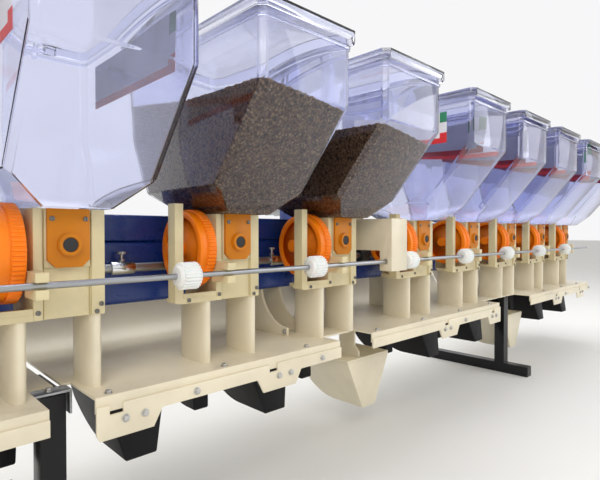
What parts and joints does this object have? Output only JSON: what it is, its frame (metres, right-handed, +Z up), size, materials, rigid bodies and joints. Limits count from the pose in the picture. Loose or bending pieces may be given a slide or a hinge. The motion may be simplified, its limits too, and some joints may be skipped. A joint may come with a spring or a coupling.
{
  "type": "ten-row grain seeder",
  "caption": "Mounted row seeder on stands: clear hinged-lid hoppers over metering housings, seed tubes, floats with openers, a blue beam and a drive shaft.",
  "frame": {"origin": "on the floor, below the middle of its length and depth", "axes": "+X along the row to the right seen from behind, +Y the way it travels, +Z up"},
  "size_m": [2.62, 0.574, 0.7263],
  "materials": {
    "amber_plastic": "dark orange moulded cover",
    "black_paint": "black painted tube",
    "black_plastic": "black moulded opener",
    "blue_paint": "deep blue paint",
    "chrome_steel": "bright plated sleeve",
    "clear_plastic": "clear moulded polycarbonate with a lavender cast",
    "cream_paint": "cream paint",
    "grain": "loose brown seed",
    "housing_plastic": "beige moulded housing",
    "lid_plastic": "clear moulded lid",
    "orange_plastic": "bright orange moulded wheel",
    "white_plastic": "white moulded pinion",
    "zinc_steel": "zinc-plated bar"
  },
  "bodies": {
    "frame": {"adjusting_pinions": "white_plastic", "adjusting_rod": "zinc_steel", "adjusting_wheels": "orange_plastic", "ditch_hangers": "cream_paint", "ditch_openers": "cream_paint", "drive_case": "cream_paint", "float_1": "cream_paint", "float_2": "cream_paint", "float_3": "cream_paint", "float_4": "cream_paint", "float_cheeks": "cream_paint", "float_straps": "zinc_steel", "float_struts": "cream_paint", "float_tab_strips": "cream_paint", "furrow_openers": "black_plastic", "grain_4": "grain", "grain_5": "grain", "hitch_mast": "blue_paint", "hopper_1": "clear_plastic", "hopper_10": "clear_plastic", "hopper_2": "clear_plastic", "hopper_3": "clear_plastic", "hopper_4": "clear_plastic", "hopper_5": "clear_plastic", "hopper_6": "clear_plastic", "hopper_7": "clear_plastic", "hopper_8": "clear_plastic", "hopper_9": "clear_plastic", "housing_mounts": "blue_paint", "lower_hitch_plates": "blue_paint", "main_beam": "blue_paint", "metering_housings": "housing_plastic", "rod_clips": "housing_plastic", "rotor_covers": "amber_plastic", "seed_tubes": "cream_paint", "shaft_bearings": "blue_paint", "stand_left": "black_paint", "stand_right": "black_paint", "top_rail": "blue_paint", "trench_openers": "black_plastic", "wheel_brackets": "housing_plastic"},
    "lid_1": {"lid_1": "lid_plastic"},
    "lid_2": {"lid_2": "lid_plastic"},
    "lid_3": {"lid_3": "lid_plastic"},
    "lid_4": {"lid_4": "lid_plastic"},
    "lid_5": {"lid_5": "lid_plastic"},
    "lid_6": {"lid_6": "lid_plastic"},
    "lid_7": {"lid_7": "lid_plastic"},
    "lid_8": {"lid_8": "lid_plastic"},
    "lid_9": {"lid_9": "lid_plastic"},
    "lid_10": {"lid_10": "lid_plastic"},
    "drive_line": {"drive_shaft": "zinc_steel", "shaft_sleeves": "chrome_steel"},
    "input_shaft": {"input_shaft": "zinc_steel"}
  },
  "joints": [
    {"name": "lid_hinge_1", "type": "hinge", "parent": "frame", "child": "lid_1", "pos_m": [-1.145, 0.077, 0.716], "axis": [-1, 0, 0], "range_deg": [0, 100]},
    {"name": "lid_hinge_2", "type": "hinge", "parent": "frame", "child": "lid_2", "pos_m": [-0.895, 0.077, 0.716], "axis": [-1, 0, 0], "range_deg": [0, 100]},
    {"name": "lid_hinge_3", "type": "hinge", "parent": "frame", "child": "lid_3", "pos_m": [-0.645, 0.077, 0.716], "axis": [-1, 0, 0], "range_deg": [0, 100]},
    {"name": "lid_hinge_4", "type": "hinge", "parent": "frame", "child": "lid_4", "pos_m": [-0.395, 0.077, 0.716], "axis": [-1, 0, 0], "range_deg": [0, 100]},
    {"name": "lid_hinge_5", "type": "hinge", "parent": "frame", "child": "lid_5", "pos_m": [-0.145, 0.077, 0.716], "axis": [-1, 0, 0], "range_deg": [0, 100]},
    {"name": "lid_hinge_6", "type": "hinge", "parent": "frame", "child": "lid_6", "pos_m": [0.145, 0.077, 0.716], "axis": [-1, 0, 0], "range_deg": [0, 100]},
    {"name": "lid_hinge_7", "type": "hinge", "parent": "frame", "child": "lid_7", "pos_m": [0.395, 0.077, 0.716], "axis": [-1, 0, 0], "range_deg": [0, 100]},
    {"name": "lid_hinge_8", "type": "hinge", "parent": "frame", "child": "lid_8", "pos_m": [0.645, 0.077, 0.716], "axis": [-1, 0, 0], "range_deg": [0, 100]},
    {"name": "lid_hinge_9", "type": "hinge", "parent": "frame", "child": "lid_9", "pos_m": [0.895, 0.077, 0.716], "axis": [-1, 0, 0], "range_deg": [0, 100]},
    {"name": "lid_hinge_10", "type": "hinge", "parent": "frame", "child": "lid_10", "pos_m": [1.145, 0.077, 0.716], "axis": [-1, 0, 0], "range_deg": [0, 100]},
    {"name": "input_turn", "type": "hinge", "parent": "frame", "child": "input_shaft", "pos_m": [0, 0.287, 0.496], "axis": [0, 1, 0], "continuous": true},
    {"name": "drive_turn", "type": "hinge", "parent": "frame", "child": "drive_line", "pos_m": [0, -0.011, 0.3845], "axis": [1, 0, 0], "continuous": true}
  ],
  "couplings": [
    {"joint": "drive_turn", "follows": "input_turn", "ratio": 1}
  ]
}
